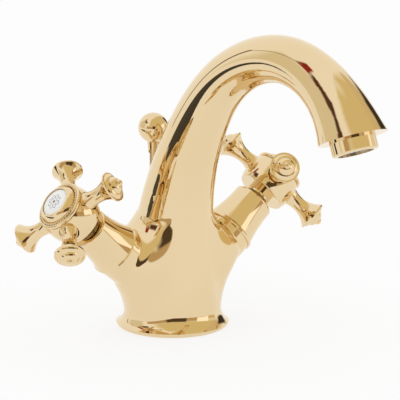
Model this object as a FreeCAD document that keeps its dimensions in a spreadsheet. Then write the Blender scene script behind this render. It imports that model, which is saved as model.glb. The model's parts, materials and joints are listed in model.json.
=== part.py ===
"""Basin mixer with two cross handles, a swan-neck spout and the lift rod of a pop-up waste.

Millimetres, +Z up. The origin is the middle of the foot on the deck. The spout points along -Y, the hot
valve leans towards -X and the cold valve towards +X, and the lift rod stands behind the neck.
"""
import FreeCAD
import Part
import math
import os
import Sketcher
from FreeCAD import Vector
from types import SimpleNamespace

# Driving sizes: name, millimetres or degrees, meaning
DRIVING_SIZES = [
    ("sole_radius", 25.4, "foot where it meets the deck"),
    ("foot_radius", 27.3, "foot at its widest"),
    ("foot_rim_height", 2.2, "height of the foot's widest ring"),
    ("foot_rim_curve", 3.0, "radius of the foot's rounded lower edge"),
    ("foot_curve", 9.0, "radius of the foot's hollow curve"),
    ("waist_radius", 22.6, "column just above the foot"),
    ("waist_drop", 18.6, "column from the neck's first bend down to the foot's curve"),
    ("shoulder_taper", 1.0, "column's draw-in from its waist to the neck's first bend"),
    ("column_height", 28.6, "height where the neck starts to bend"),
    ("rise_bend", 137.2, "bend radius of the rising neck"),
    ("rise_angle", 38.1, "turn of the rising neck"),
    ("crown_bend", 78.2, "bend radius before the spout's crown"),
    ("crown_angle", 43.9, "turn before the spout's crown"),
    ("drop_bend", 55.0, "bend radius from the crown to the mouth"),
    ("drop_angle", 64.0, "turn from the crown to the mouth"),
    ("lip_length", 4.8, "straight run from the last bend to the mouth"),
    ("throat_radius", 11.1, "spout at its thinnest"),
    ("mouth_radius", 15.95, "spout's mouth"),
    ("mouth_angle", 23.0, "mouth's lean forward from straight down"),
    ("spout_bore", 8.0, "water channel in the spout"),
    ("socket_radius", 10.1, "threaded socket in the mouth"),
    ("socket_depth", 7.0, "depth of that socket"),
    ("valve_tilt", 39.0, "valve axis above the horizontal"),
    ("seat_reach", 10.7, "end face of a body arm, its middle outside the column's waist"),
    ("seat_rise", 13.5, "end face of a body arm, its middle above the neck's first bend"),
    ("arm_radius", 12.6, "body arm that carries a valve"),
    ("arm_length", 12.0, "straight part of a body arm"),
    ("arm_root_inset", 3.72, "body arm's inner end, its radius less than the column's waist"),
    ("arm_root_offset", 8.43, "body arm's inner end, distance of its middle from the column's middle"),
    ("arm_blend", 6.0, "fillet between an arm and the column"),
    ("fit_gap", 0.05, "clearance of pieces that are screwed or pushed together"),
    ("running_gap", 0.06, "clearance of pieces that turn or slide in each other"),
    ("valve_thread", 9.9, "threaded bore of a body arm"),
    ("chamber_depth", 20.4, "depth of the valve chamber below the arm's end face"),
    ("inlet_radius", 5.0, "threaded hole for a supply hose"),
    ("inlet_depth", 14.0, "depth of a supply hole"),
    ("inlet_offset", 9.0, "supply hole, distance from the middle"),
    ("feed_radius", 3.5, "drilled way from a supply hole to a valve"),
    ("mix_radius", 3.5, "drilled way from a valve to the spout"),
    ("mix_depth", 12.0, "where that way leaves the valve chamber"),
    ("mix_rise", 40.0, "height where both ways meet in the column"),
    ("stud_radius", 4.0, "threaded hole for the fixing stud"),
    ("stud_depth", 14.0, "depth of the stud hole"),
    ("stud_offset", 13.0, "stud hole, distance in front of the middle"),
    ("seal_inner", 19.5, "inner radius of the groove under the foot"),
    ("seal_outer", 22.5, "outer radius of that groove"),
    ("seal_height", 2.0, "depth of that groove"),
    ("rod_radius", 2.0, "lift rod"),
    ("rod_offset", 15.4, "lift rod, distance behind the middle"),
    ("rod_foot", 32.0, "height of the rod's lower end"),
    ("rod_hole", 2.6, "hole for the rod through the foot"),
    ("boss_radius", 5.4, "boss behind the neck that holds the rod's guide"),
    ("boss_height", 58.0, "top of that boss"),
    ("boss_foot", 14.0, "bottom of that boss inside the column"),
    ("relief_height", 14.0, "height of the hollow in the neck that clears the guide and the rod"),
    ("flange_room", 0.3, "room round the guide's flange"),
    ("guide_radius", 3.6, "rod guide in the boss"),
    ("guide_length", 12.0, "length of the guide in the boss"),
    ("guide_flange_radius", 4.7, "guide's flange on the boss"),
    ("guide_flange_height", 1.8, "thickness of that flange"),
    ("knob_radius", 7.35, "ball of the lift knob"),
    ("knob_height", 94.8, "height of the ball's middle"),
    ("knob_neck", 3.0, "neck under the ball"),
    ("collar_radius", 2.7, "collar under the knob's neck"),
    ("collar_height", 1.4, "thickness of that collar"),
    ("collar_drop", 12.0, "collar's underside below the ball's middle"),
    ("rod_grip", 8.0, "length of the rod inside the knob"),
    ("oring_radius", 0.5, "section of the small O-rings"),
    ("oring_slack", 0.05, "room beside an O-ring in its groove"),
    ("aerator_radius", 10.6, "aerator's visible ring"),
    ("aerator_drop", 6.7, "aerator's length below the mouth"),
    ("aerator_bore", 8.9, "inside of the aerator's ring"),
    ("aerator_edge", 0.8, "bevel of the aerator's lower edge"),
    ("lip_radius", 8.2, "opening in the aerator's lower end"),
    ("lip_height", 1.0, "thickness of the aerator's lower lip"),
    ("screen_height", 0.8, "thickness of the outlet screen"),
    ("screen_hole", 0.7, "hole of the outlet screen"),
    ("screen_step", 2.2, "distance between the screen's rings of holes"),
    ("straightener_hole", 1.25, "hole of the flow straightener"),
    ("straightener_step", 3.2, "distance between the straightener's rings of holes"),
    ("washer_height", 1.2, "aerator's rubber washer"),
    ("seat_seal_height", 3.4, "rubber seat under the ceramic discs"),
    ("seat_seal_bore", 5.0, "opening of the rubber seat"),
    ("seat_squeeze", 0.4, "how far the rubber seat stands out of the valve housing"),
    ("disc_radius", 7.6, "ceramic disc"),
    ("disc_height", 3.0, "thickness of a ceramic disc"),
    ("port_radius", 1.8, "water port in a ceramic disc"),
    ("port_offset", 4.6, "water port, distance from the valve's axis"),
    ("drive_radius", 6.2, "spindle's drive flange"),
    ("drive_height", 3.0, "thickness of the drive flange"),
    ("dog_radius", 1.2, "peg of the drive flange in the moving disc"),
    ("dog_height", 1.5, "length of that peg"),
    ("skirt_wall", 1.2, "wall of the valve housing's skirt"),
    ("thread_length", 7.0, "valve housing's thread in the arm"),
    ("window_radius", 1.3, "water window in the skirt"),
    ("fibre_height", 1.0, "washer under the valve housing's flange"),
    ("flange_radius", 10.9, "valve housing's flange"),
    ("flange_height", 2.0, "thickness of that flange"),
    ("hex_radius", 9.2, "valve housing's hexagon over its corners"),
    ("hex_height", 5.0, "height of the hexagon"),
    ("neck_radius", 7.0, "valve housing's threaded neck"),
    ("neck_stand", 0.3, "neck's height above the bonnet"),
    ("bonnet_height", 21.0, "bonnet over the valve"),
    ("bonnet_foot", 13.2, "bonnet's rim on the body arm"),
    ("bonnet_rim", 1.2, "height of that rim"),
    ("bonnet_skirt", 12.6, "bonnet above its rim"),
    ("bonnet_top", 10.25, "bonnet's upper end"),
    ("bonnet_curve", 70.0, "radius of the bonnet's hollow side"),
    ("bonnet_edge", 1.2, "rounding of the bonnet's upper edge"),
    ("bonnet_roof", 2.4, "thickness of the bonnet's upper end"),
    ("bonnet_inside", 11.1, "room inside the bonnet's foot"),
    ("bonnet_inside_height", 3.6, "height of that room"),
    ("bonnet_inside_top", 8.9, "room under the bonnet's roof"),
    ("spindle_radius", 4.0, "spindle"),
    ("spindle_seal_low", 5.0, "height of the lower O-ring above the arm's end face"),
    ("spindle_seal_step", 4.0, "distance between the O-rings"),
    ("square_side", 5.6, "square end of the spindle"),
    ("clip_radius", 5.4, "spring clip on the spindle"),
    ("clip_height", 0.8, "thickness of the clip"),
    ("clip_seat", 3.4, "bottom of the clip's groove"),
    ("clip_lift", 0.3, "clip above the valve housing"),
    ("clip_mouth", 4.6, "opening of the clip"),
    ("hub_height", 34.5, "middle of the handle's arms above the arm's end face"),
    ("hub_neck_radius", 6.2, "neck behind the handle hub"),
    ("hub_neck_drop", 11.5, "lower end of that neck below the handle's arms"),
    ("hub_back", 8.6, "hub's back below the handle's arms"),
    ("hub_rim_radius", 12.2, "hub at its back rim"),
    ("hub_rim_edge", 0.7, "rounding of the back rim"),
    ("hub_shoulder", 12.0, "hub behind its bead"),
    ("hub_shoulder_rise", 5.0, "that shoulder above the handle's arms"),
    ("hub_barrel", 17.0, "radius of the hub's bulging side"),
    ("bead_foot", 11.6, "groove beside the hub's bead"),
    ("bead_start", 5.2, "start of the bead above the handle's arms"),
    ("bead_end", 7.4, "end of the bead above the handle's arms"),
    ("bead_curve", 1.13, "radius of the bead's section"),
    ("rope_seat", 11.3, "hub's front recess for the rope ring"),
    ("hub_front", 6.6, "floor of that recess above the handle's arms"),
    ("plug_radius", 7.5, "bezel's plug in the hub"),
    ("plug_floor", 2.4, "floor of the plug's bore above the handle's arms"),
    ("screw_well", 5.0, "well for the handle screw's head"),
    ("screw_seat", 0.8, "seat of the handle screw above the handle's arms"),
    ("screw_radius", 2.0, "handle screw"),
    ("screw_head", 3.4, "head of the handle screw"),
    ("screw_head_height", 2.2, "thickness of that head"),
    ("screw_length", 10.0, "length of the handle screw"),
    ("screw_slot", 1.0, "slot in that head"),
    ("spindle_drop", 1.0, "top of the spindle below the handle's arms"),
    ("socket_room", 0.2, "room above the spindle in the hub"),
    ("hot_angle", 44.0, "turn of the hot handle's first arm"),
    ("cold_angle", 57.0, "turn of the cold handle's first arm"),
    ("handle_seat", 11.3, "seat of a handle arm, distance from the valve's axis"),
    ("handle_root", 4.7, "handle arm at its seat"),
    ("tenon_radius", 2.2, "screwed tenon of a handle arm"),
    ("tenon_start", 8.6, "inner end of that tenon, distance from the valve's axis"),
    ("root_collar", 0.6, "straight collar of a handle arm at its seat"),
    ("handle_waist", 3.45, "handle arm at its thinnest"),
    ("handle_waist_place", 17.5, "that waist, distance from the valve's axis"),
    ("handle_rim", 7.35, "trumpet rim of a handle arm"),
    ("handle_rim_place", 26.4, "that rim, distance from the valve's axis"),
    ("handle_rim_height", 0.8, "thickness of the trumpet's rim"),
    ("cap_radius", 6.6, "cushion beyond the rim"),
    ("cap_curve", 3.2, "radius of the cushion's section"),
    ("cap_length", 1.5, "length of the cushion"),
    ("button_radius", 4.4, "button beyond the cushion"),
    ("button_curve", 4.2, "radius of the button's section"),
    ("button_length", 2.2, "length of the button"),
    ("nipple_radius", 1.7, "tip of the finial"),
    ("nipple_length", 1.3, "length of that tip"),
    ("rope_radius", 10.6, "middle of the rope ring"),
    ("rope_section", 0.65, "section of the rope ring"),
    ("bezel_radius", 9.9, "bezel's foot"),
    ("bezel_foot_height", 0.7, "height of the bezel's straight foot"),
    ("bezel_top", 10.4, "bezel's front above the handle's arms"),
    ("bezel_rim", 0.35, "width of the bezel's front edge"),
    ("bezel_curve", 4.6, "radius of the bezel's rounded face"),
    ("bezel_bore", 6.3, "inside of the bezel"),
    ("bezel_plug", 3.6, "length of the bezel's plug"),
    ("index_radius", 7.15, "index disc"),
    ("index_seat", 8.6, "back of the index disc above the handle's arms"),
    ("index_edge", 1.3, "thickness of the index disc at its edge"),
    ("index_dome", 36.0, "radius of the index disc's face"),
]
# Shape of the spout's thickness along its run: how fast it thins, and how late it opens towards the mouth
TAPER_POWER = 2.0
FLARE_POWER = 3.25
# Spare length past the mouth's centre, as a share of its radius, that the slanted cut takes off
LIP_SPARE = 0.4
RISE_STEPS = 5
CROWN_STEPS = 4
DROP_STEPS = 6
HANDLE_ARMS = 4
INSERT_RINGS = 2
SCREEN_RINGS = 3
QUARTER_TURN = 90.0
HALF_TURN = 180.0
FULL_TURN = 360.0
DEGREE = math.pi / HALF_TURN


class Size:
    """A length or angle that keeps its number together with the sheet expression it comes from."""

    def __init__(self, number, text=None):
        self.number = float(number)
        self.text = text if text else repr(float(number))

    def __add__(self, other):
        other = as_size(other)
        return Size(self.number + other.number, f"({self.text} + {other.text})")

    def __sub__(self, other):
        other = as_size(other)
        return Size(self.number - other.number, f"({self.text} - {other.text})")

    def __mul__(self, other):
        other = as_size(other)
        return Size(self.number * other.number, f"({self.text} * {other.text})")

    def __truediv__(self, other):
        other = as_size(other)
        return Size(self.number / other.number, f"({self.text} / {other.text})")

    def __pow__(self, power):
        return Size(self.number ** power, f"({self.text} ^ {power})")

    def __neg__(self):
        return Size(-self.number, f"(-1 * {self.text})")

    def __radd__(self, other):
        return as_size(other) + self

    def __rsub__(self, other):
        return as_size(other) - self

    def __rmul__(self, other):
        return as_size(other) * self


def as_size(value):
    return value if isinstance(value, Size) else Size(value)


def sine(angle):
    return Size(math.sin(math.radians(angle.number)), f"sin({angle.text} * 1deg)")


def cosine(angle):
    return Size(math.cos(math.radians(angle.number)), f"cos({angle.text} * 1deg)")


doc = FreeCAD.newDocument("BasinMixer")
sheet = doc.addObject("Spreadsheet::Sheet", "Sizes")
for row, (alias, value, meaning) in enumerate(DRIVING_SIZES, start=1):
    sheet.set(f"A{row}", meaning)
    sheet.set(f"B{row}", str(value))
    sheet.setAlias(f"B{row}", alias)
doc.recompute()
size = SimpleNamespace(**{alias: Size(value, f"Sizes.{alias}") for alias, value, meaning in DRIVING_SIZES})


def frame_text(x=0.0, y=0.0, z=0.0, turn_axis=(0, 0, 1), turn=0.0):
    """Expression of a placement at (x, y, z), turned about one axis by an angle in degrees."""
    place = "; ".join(as_size(part).text for part in (x, y, z))
    axis = "; ".join(str(part) for part in turn_axis)
    return f"placement(vector({place}); rotation(vector({axis}); {as_size(turn).text}))"


def origin_plane(body, role):
    return next(item for item in body.Origin.OriginFeatures if item.Role == role)


def hold_point(sketch, curve, end, x, y):
    """Fix one end of a sketch curve at (x, y), both bound to the sheet."""
    for kind, axis, part in (("DistanceX", -2, x), ("DistanceY", -1, y)):
        if part.number == 0.0:
            sketch.addConstraint(Sketcher.Constraint("PointOnObject", curve, end, axis))
            continue
        index = sketch.addConstraint(Sketcher.Constraint(kind, -1, 1, curve, end, part.number))
        sketch.setExpression(f"Constraints[{index}]", part.text)


def arc_through(start, stop, radius):
    """Arc of less than half a turn; a positive radius bulges to the right of the way from start to stop."""
    chord = stop - start
    middle = (start + stop) * 0.5
    left = Vector(-chord.y, chord.x, 0).normalize()
    reach = math.sqrt(radius * radius - chord.Length * chord.Length / 4)
    centre = middle + left * math.copysign(reach, radius)
    circle = Part.Circle(centre, Vector(0, 0, 1), abs(radius))
    first, second = (start, stop) if radius > 0 else (stop, start)
    angles = [math.atan2(point.y - centre.y, point.x - centre.x) for point in (first, second)]
    return Part.ArcOfCircle(circle, angles[0], angles[1])


def outline(body, name, corners, bends, offset=None):
    """Closed sketch in the body's XZ plane.

    bends gives the radius of the arc that leaves a corner, positive where the arc bulges outwards.
    """
    corners = [(as_size(x), as_size(y)) for x, y in corners]
    points = [Vector(x.number, y.number, 0) for x, y in corners]
    sketch = body.newObject("Sketcher::SketchObject", name)
    sketch.AttachmentSupport = [(origin_plane(body, "XZ_Plane"), "")]
    sketch.MapMode = "FlatFace"
    if offset:
        sketch.setExpression("AttachmentOffset", offset)
    ends = []
    for place, point in enumerate(points):
        following = points[(place + 1) % len(points)]
        bend = bends.get(place)
        if bend is None:
            ends.append((sketch.addGeometry(Part.LineSegment(point, following)), 1, 2))
            continue
        curve = sketch.addGeometry(arc_through(point, following, bend.number))
        ends.append((curve, 1, 2) if bend.number > 0 else (curve, 2, 1))
        index = sketch.addConstraint(Sketcher.Constraint("Radius", curve, abs(bend.number)))
        sketch.setExpression(f"Constraints[{index}]", bend.text if bend.number > 0 else (-bend).text)
    for place, (curve, first, last) in enumerate(ends):
        next_curve, next_first, _ = ends[(place + 1) % len(ends)]
        sketch.addConstraint(Sketcher.Constraint("Coincident", curve, last, next_curve, next_first))
        hold_point(sketch, curve, first, *corners[place])
    return sketch


def revolved(name, corners, bends, axis, offset=None):
    body = doc.addObject("PartDesign::Body", name)
    sketch = outline(body, name + "_outline", corners, bends or {}, offset)
    turn = body.newObject("PartDesign::Revolution", name + "_turned")
    turn.Profile = sketch
    turn.ReferenceAxis = (sketch, [axis])
    turn.Angle = FULL_TURN
    return body


def turned(name, corners, bends=None):
    """Body turned about its own Z axis; corners are (radius, height), anticlockwise."""
    return revolved(name, corners, bends, "V_Axis")


def lofted_tube(name, sections):
    """Body lofted through round sections along the spout, each (forward, height, lean, radius)."""
    body = doc.addObject("PartDesign::Body", name)
    rings = []
    for number, (forward, height, lean, radius) in enumerate(sections):
        ring = body.newObject("Sketcher::SketchObject", f"{name}_ring_{number}")
        ring.AttachmentSupport = [(origin_plane(body, "XY_Plane"), "")]
        ring.MapMode = "FlatFace"
        leaning = frame_text(0.0, -forward, height, (1, 0, 0), lean)
        seam_behind = frame_text(turn=QUARTER_TURN)
        ring.setExpression("AttachmentOffset", f"{leaning} * {seam_behind}")
        circle = ring.addGeometry(Part.Circle(Vector(0, 0, 0), Vector(0, 0, 1), radius.number))
        ring.addConstraint(Sketcher.Constraint("Coincident", circle, 3, -1, 1))
        index = ring.addConstraint(Sketcher.Constraint("Radius", circle, radius.number))
        ring.setExpression(f"Constraints[{index}]", radius.text)
        rings.append(ring)
    doc.recompute()
    loft = body.newObject("PartDesign::AdditiveLoft", name + "_loft")
    loft.Profile = rings[0]
    loft.Sections = rings[1:]
    loft.Ruled = False
    return body


def drum(name, radius, bottom, top, frame=None):
    """Cylinder about the frame's Z axis."""
    piece = doc.addObject("Part::Cylinder", name)
    piece.setExpression("Radius", as_size(radius).text)
    piece.setExpression("Height", (as_size(top) - bottom).text)
    lift = frame_text(z=bottom)
    piece.setExpression("Placement", f"{frame} * {lift}" if frame else lift)
    return piece


def block(name, length, width, bottom, top, x=0.0):
    """Box about the Z axis, moved along X so that its middle is at x."""
    piece = doc.addObject("Part::Box", name)
    piece.setExpression("Length", as_size(length).text)
    piece.setExpression("Width", as_size(width).text)
    piece.setExpression("Height", (as_size(top) - bottom).text)
    piece.setExpression("Placement", frame_text(x - as_size(length) / 2, -(as_size(width) / 2), bottom))
    return piece


def torus(name, ring, section, height, frame=None):
    """Ring about the frame's Z axis."""
    piece = doc.addObject("Part::Torus", name)
    piece.setExpression("Radius1", as_size(ring).text)
    piece.setExpression("Radius2", as_size(section).text)
    lift = frame_text(z=height)
    piece.setExpression("Placement", f"{frame} * {lift}" if frame else lift)
    return piece


def joined(name, pieces):
    fuse = doc.addObject("Part::MultiFuse", name)
    fuse.Shapes = pieces
    return fuse


def gathered(name, pieces):
    group = doc.addObject("Part::Compound", name)
    group.Links = pieces
    return group


def cut(name, base, tools):
    result = doc.addObject("Part::Cut", name)
    result.Base = base
    result.Tool = tools[0] if len(tools) == 1 else joined(name + "_tools", tools)
    return result


def drilled_rings(name, base, hole, step, rings, bottom, top):
    """Cut a middle hole and rings of six, twelve and more holes through a disc."""
    holes = [drum(f"{name}_hole_middle", hole, bottom, top)]
    for ring in range(1, rings + 1):
        count = 6 * ring
        for number in range(count):
            angle = FULL_TURN * number / count
            frame = f"{frame_text(turn=angle)} * {frame_text(x=step * ring)}"
            holes.append(drum(f"{name}_hole_{ring}_{number}", hole, bottom, top, frame))
    result = doc.addObject("Part::Cut", name)
    result.Base = base
    result.Tool = gathered(name + "_holes", holes)
    return result


SUB_PARTS = []


def sub_part(label, piece, frame=None):
    """Keep a finished piece under its own name, set in its frame."""
    piece.Label = label
    if frame:
        piece.setExpression("Placement", frame)
    SUB_PARTS.append(piece)


waist_height = size.column_height - size.waist_drop
seat_height = size.column_height + size.seat_rise
seat_offset = size.waist_radius + size.seat_reach
shoulder_radius = size.waist_radius - size.shoulder_taper
arm_root_radius = size.waist_radius - size.arm_root_inset
arm_end = (seat_offset - size.arm_root_offset) / cosine(size.valve_tilt)


def spout_line():
    """The spout's middle line from the shoulder: (forward, height, lean, run, past the crown), and its mouth."""
    forward = Size(0)
    height = size.column_height
    lean = Size(0)
    run = Size(0)
    line = []
    bends = [
        (size.rise_bend, size.rise_angle, RISE_STEPS, False),
        (size.crown_bend, size.crown_angle, CROWN_STEPS, False),
        (size.drop_bend, size.drop_angle, DROP_STEPS, True),
    ]
    for bend, turn, steps, past_crown in bends:
        first_forward, first_height, first_lean, first_run = forward, height, lean, run
        if past_crown:
            first_run = Size(0)
        for step in range(1, steps + 1):
            part_turn = turn * (step / steps)
            lean = first_lean + part_turn
            forward = first_forward + bend * (cosine(first_lean) - cosine(lean))
            height = first_height + bend * (sine(lean) - sine(first_lean))
            run = first_run + bend * part_turn * DEGREE
            line.append((forward, height, lean, run, past_crown))
    mouth = (forward + size.lip_length * sine(lean), height + size.lip_length * cosine(lean))
    reach = size.lip_length + size.mouth_radius * LIP_SPARE
    line.append((forward + reach * sine(lean), height + reach * cosine(lean), lean, run + reach, True))
    return line, mouth


def spout_radius(run, past_crown):
    """Outside radius along the spout: it thins to the throat at the crown and opens towards the mouth."""
    if past_crown:
        flare_run = size.drop_bend * size.drop_angle * DEGREE + size.lip_length
        growth = size.mouth_radius - size.throat_radius
        return size.throat_radius + growth * ((run / flare_run) ** FLARE_POWER)
    taper_run = (size.rise_bend * size.rise_angle + size.crown_bend * size.crown_angle) * DEGREE
    growth = shoulder_radius - size.throat_radius
    return size.throat_radius + growth * ((1 - run / taper_run) ** TAPER_POWER)


def spout_sections(line):
    """Round sections of the casting's outside, from the waist up, and of the channel inside it."""
    shoulder = (Size(0), size.column_height, Size(0))
    outside = [(Size(0), waist_height, Size(0), size.waist_radius), (*shoulder, shoulder_radius)]
    inside = [(*shoulder, size.spout_bore)]
    for number, (forward, height, lean, run, past_crown) in enumerate(line, start=1):
        crown_end = number == RISE_STEPS + CROWN_STEPS
        radius = size.throat_radius if crown_end else spout_radius(run, past_crown)
        outside.append((forward, height, lean, radius))
        inside.append((forward, height, lean, size.spout_bore))
    return outside, inside


middle_line, (mouth_forward, mouth_height) = spout_line()
outer_sections, channel_sections = spout_sections(middle_line)
mouth_frame = frame_text(0.0, -mouth_forward, mouth_height, (1, 0, 0), HALF_TURN - size.mouth_angle)
rod_frame = frame_text(y=size.rod_offset)


def valve_frame(side):
    """Frame on the end face of a body arm, its Z axis along the valve; side is -1 for hot and 1 for cold."""
    lean = (QUARTER_TURN - size.valve_tilt) * side
    return frame_text(seat_offset * side, 0.0, seat_height, (0, 1, 0), lean)


def valve_point(side, depth):
    """X and Z of the point on a valve's axis that lies that deep below the arm's end face."""
    x = (seat_offset - cosine(size.valve_tilt) * depth) * side
    z = seat_height - sine(size.valve_tilt) * depth
    return x, z


def drill(name, radius, start, stop):
    """Cylinder between two (x, z) points of the middle plane."""
    across = stop[0] - start[0]
    up = stop[1] - start[1]
    length = (across ** 2 + up ** 2) ** 0.5
    angle = Size(math.degrees(math.atan2(across.number, up.number)), f"atan2({across.text}; {up.text})")
    return drum(name, radius, Size(0), length, frame_text(start[0], 0.0, start[1], (0, 1, 0), angle))


def touches(point, shell):
    return Part.Vertex(point).distToShape(shell)[0] < 1e-3


def make_mixer_body():
    foot = turned("foot", [
        (0, 0),
        (size.sole_radius, 0),
        (size.foot_radius, size.foot_rim_height),
        (size.waist_radius, waist_height),
        (0, waist_height),
    ], {1: size.foot_rim_curve, 2: -size.foot_curve})
    column = lofted_tube("column", outer_sections)
    flare = tangent_curve((size.arm_length, size.arm_radius), (arm_end, arm_root_radius))
    arms = []
    for side, name in ((-1, "hot"), (1, "cold")):
        arm = turned(name + "_body_arm", [
            (0, 0),
            (0, -arm_end),
            (arm_root_radius, -arm_end),
            (size.arm_radius, -size.arm_length),
            (size.arm_radius, 0),
        ], {2: -flare})
        arm.setExpression("Placement", valve_frame(side))
        arms.append(arm)
    raw = joined("raw_casting", [foot, column] + arms)
    doc.recompute()

    # The long fillets run where an arm meets the column
    corners = []
    for number, edge in enumerate(raw.Shape.Edges, start=1):
        middle = edge.valueAt((edge.FirstParameter + edge.LastParameter) / 2)
        on_arm = any(touches(middle, arm.Shape.Shells[0]) for arm in arms)
        if on_arm and touches(middle, column.Shape.Shells[0]):
            corners.append((number, size.arm_blend.number, size.arm_blend.number))
    blended = doc.addObject("Part::Fillet", "blended_casting")
    blended.Base = raw
    blended.Edges = corners
    boss = drum("rod_boss", size.boss_radius, size.boss_foot, size.boss_height, rod_frame)
    casting = joined("casting", [blended, boss])

    waterways = [
        lofted_tube("spout_channel", channel_sections),
        drum("outlet_socket", size.socket_radius, -size.socket_depth, size.mouth_radius, mouth_frame),
    ]
    for side, name in ((-1, "hot"), (1, "cold")):
        frame = valve_frame(side)
        inlet = size.inlet_offset * side
        chamber_floor = valve_point(side, size.chamber_depth)
        chamber_side = valve_point(side, size.mix_depth)
        feed_start = (inlet, size.inlet_depth - size.feed_radius)
        waterways += [
            drum(name + "_chamber", size.valve_thread, -size.chamber_depth, size.arm_length, frame),
            drum(name + "_inlet", size.inlet_radius, Size(0), size.inlet_depth, frame_text(x=inlet)),
            drill(name + "_feed", size.feed_radius, feed_start, chamber_floor),
            drill(name + "_mix", size.mix_radius, chamber_side, (Size(0), size.mix_rise)),
        ]
    guide_floor = size.boss_height - size.guide_length
    guide_hole = size.guide_radius + size.fit_gap
    flange_room = size.guide_flange_radius + size.flange_room
    relief_top = size.boss_height + size.relief_height
    other_cuts = [
        drum("mouth_cut", size.mouth_radius * 2, Size(0), size.mouth_radius, mouth_frame),
        drum("stud_hole", size.stud_radius, Size(0), size.stud_depth, frame_text(y=-size.stud_offset)),
        drum("rod_hole", size.rod_hole, Size(0), guide_floor, rod_frame),
        drum("guide_hole", guide_hole, guide_floor, size.boss_height, rod_frame),
        drum("rod_relief", flange_room, size.boss_height, relief_top, rod_frame),
        ring_body("seal_groove", size.seal_inner, size.seal_outer, Size(0), size.seal_height),
    ]
    sub_part("mixer_body", cut("mixer_body", casting, waterways + other_cuts))


def ring_body(name, inner, outer, bottom, top):
    return turned(name, [(inner, bottom), (outer, bottom), (outer, top), (inner, top)])


def make_aerator():
    washer_bottom = -size.socket_depth
    washer_top = washer_bottom + size.washer_height
    thread = size.socket_radius - size.fit_gap
    washer = ring_body("aerator_washer", size.spout_bore, thread, washer_bottom, washer_top)
    sub_part("aerator_washer", washer, mouth_frame)

    lip_start = size.aerator_drop - size.lip_height
    housing = turned("aerator_housing", [
        (size.aerator_bore, washer_top),
        (thread, washer_top),
        (thread, 0),
        (size.aerator_radius, 0),
        (size.aerator_radius, size.aerator_drop - size.aerator_edge),
        (size.aerator_radius - size.aerator_edge, size.aerator_drop),
        (size.lip_radius, size.aerator_drop),
        (size.lip_radius, lip_start),
        (size.aerator_bore, lip_start),
    ])
    sub_part("aerator_housing", housing, mouth_frame)

    inside = size.aerator_bore - size.fit_gap
    screen_start = lip_start - size.screen_height
    insert_holes = (size.straightener_hole, size.straightener_step, INSERT_RINGS)
    screen_holes = (size.screen_hole, size.screen_step, SCREEN_RINGS)
    perforated = [
        ("aerator_insert", insert_holes, washer_top, screen_start),
        ("aerator_screen", screen_holes, screen_start, lip_start),
    ]
    for label, holes, bottom, top in perforated:
        disc = drum(label + "_disc", inside, bottom, top)
        sub_part(label, drilled_rings(label, disc, *holes, bottom, top), mouth_frame)


def make_lift_rod():
    bore = size.rod_radius + size.running_gap
    flange_top = size.boss_height + size.guide_flange_height
    guide_floor = size.boss_height - size.guide_length
    guide = turned("guide_bush", [
        (bore, guide_floor),
        (size.guide_radius, guide_floor),
        (size.guide_radius, size.boss_height),
        (size.guide_flange_radius, size.boss_height),
        (size.guide_flange_radius, flange_top),
        (bore, flange_top),
    ])
    seal_height = size.boss_height - size.guide_length / 2
    seal_ring = bore + size.oring_radius
    groove_outer = seal_ring + size.oring_radius + size.oring_slack
    groove_half = size.oring_radius + size.oring_slack
    groove = drum("guide_groove", groove_outer, seal_height - groove_half, seal_height + groove_half)
    sub_part("rod_guide", cut("rod_guide", guide, [groove]), rod_frame)
    sub_part("rod_seal", torus("rod_seal", seal_ring, size.oring_radius, seal_height, rod_frame))

    collar_bottom = size.knob_height - size.collar_drop
    rod_top = collar_bottom + size.rod_grip
    sub_part("lift_rod", drum("lift_rod", size.rod_radius, size.rod_foot, rod_top, rod_frame))

    collar_top = collar_bottom + size.collar_height
    neck_top = size.knob_height - (size.knob_radius ** 2 - size.knob_neck ** 2) ** 0.5
    socket = size.rod_radius + size.fit_gap
    knob = turned("lift_knob", [
        (0, rod_top),
        (socket, rod_top),
        (socket, collar_bottom),
        (size.collar_radius, collar_bottom),
        (size.collar_radius, collar_top),
        (size.knob_neck, neck_top),
        (0, size.knob_height + size.knob_radius),
    ], {5: size.knob_radius})
    sub_part("lift_knob", knob, rod_frame)


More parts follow.
